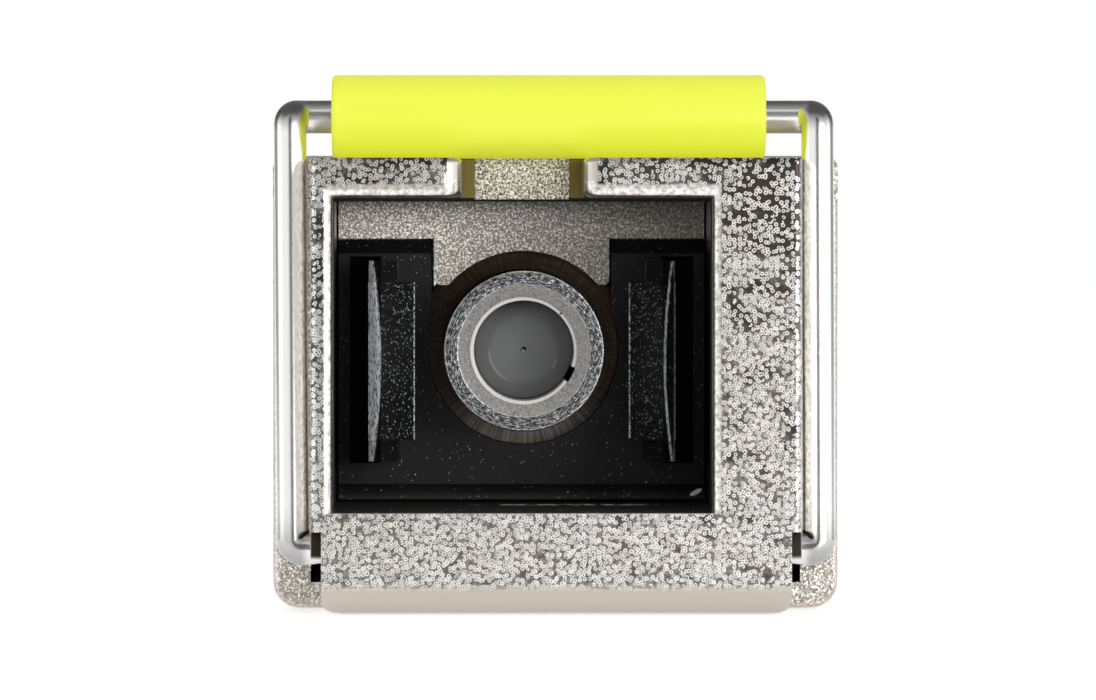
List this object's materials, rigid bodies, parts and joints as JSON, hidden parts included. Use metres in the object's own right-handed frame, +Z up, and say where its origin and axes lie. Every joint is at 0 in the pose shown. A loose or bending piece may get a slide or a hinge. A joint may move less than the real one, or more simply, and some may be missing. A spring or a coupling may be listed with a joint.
{
  "type": "sfp transceiver",
  "caption": "Pluggable single-fibre optical transceiver with a cast metal body, an SC plug port, a swinging wire bail with a yellow sleeve and a sprung latch rocker.",
  "frame": {"origin": "under the middle of the module, on the plane that the nose stands on", "axes": "+Y from the port to the rear end, +Z up from the latch side, +X to the right as seen from the port"},
  "size_m": [0.0138, 0.0636, 0.013],
  "materials": {
    "nickel_casting": "textured nickel plate on a die casting",
    "screw_steel": "bright",
    "black_plastic": "fine grain",
    "turned_steel": "turned",
    "dark_steel": "turned",
    "white_zirconia": "polished",
    "grey_zirconia": "polished",
    "fibre_glass": "polished end",
    "clear_glass": "polished",
    "nickel_can": "plated",
    "gold_plate": "plated",
    "amber_film": "smooth film",
    "green_board": "solder mask",
    "chip_black": "moulded",
    "grey_pad": "soft pad",
    "tan_ceramic": "fired",
    "dark_ferrite": "fired",
    "bail_steel": "satin drawn wire",
    "yellow_plastic": "fluorescent",
    "latch_steel": "stamped sheet",
    "spring_steel": "drawn wire"
  },
  "bodies": {
    "module": {"lower_housing": "nickel_casting", "upper_housing": "nickel_casting", "housing_screws": "screw_steel", "plug_latch_frame": "black_plastic", "receptacle_shell": "turned_steel", "receptacle_holder": "dark_steel", "split_sleeve": "white_zirconia", "fibre_stub": "grey_zirconia", "stub_fibre": "fibre_glass", "optics_block": "turned_steel", "wavelength_filter": "clear_glass", "laser_can": "nickel_can", "laser_lens": "clear_glass", "laser_leads": "gold_plate", "receiver_can": "nickel_can", "receiver_lens": "clear_glass", "receiver_leads": "gold_plate", "laser_flex": "amber_film", "receiver_flex": "amber_film", "circuit_board": "green_board", "contact_pads": "gold_plate", "driver_chip": "chip_black", "controller_chip": "chip_black", "memory_chip": "chip_black", "thermal_pad": "grey_pad", "chip_capacitors": "tan_ceramic", "chip_resistors": "chip_black", "supply_inductors": "dark_ferrite", "latch_pin": "screw_steel", "latch_spring": "spring_steel"},
    "bail": {"bail_wire": "bail_steel", "bail_sleeve": "yellow_plastic"},
    "latch": {"latch_lever": "latch_steel"}
  },
  "joints": [
    {"name": "bail_swing", "type": "hinge", "parent": "module", "child": "bail", "pos_m": [0, -0.03025, 0.0015], "axis": [1, 0, 0], "range_deg": [0, 90]},
    {"name": "latch_rock", "type": "hinge", "parent": "module", "child": "latch", "pos_m": [0, -0.02575, 0.0013], "axis": [1, 0, 0], "range_deg": [0, 2.3], "deforming": ["latch_spring"]}
  ],
  "couplings": [
    {"joint": "latch_rock", "follows": "bail_swing", "ratio": 0.0255}
  ]
}
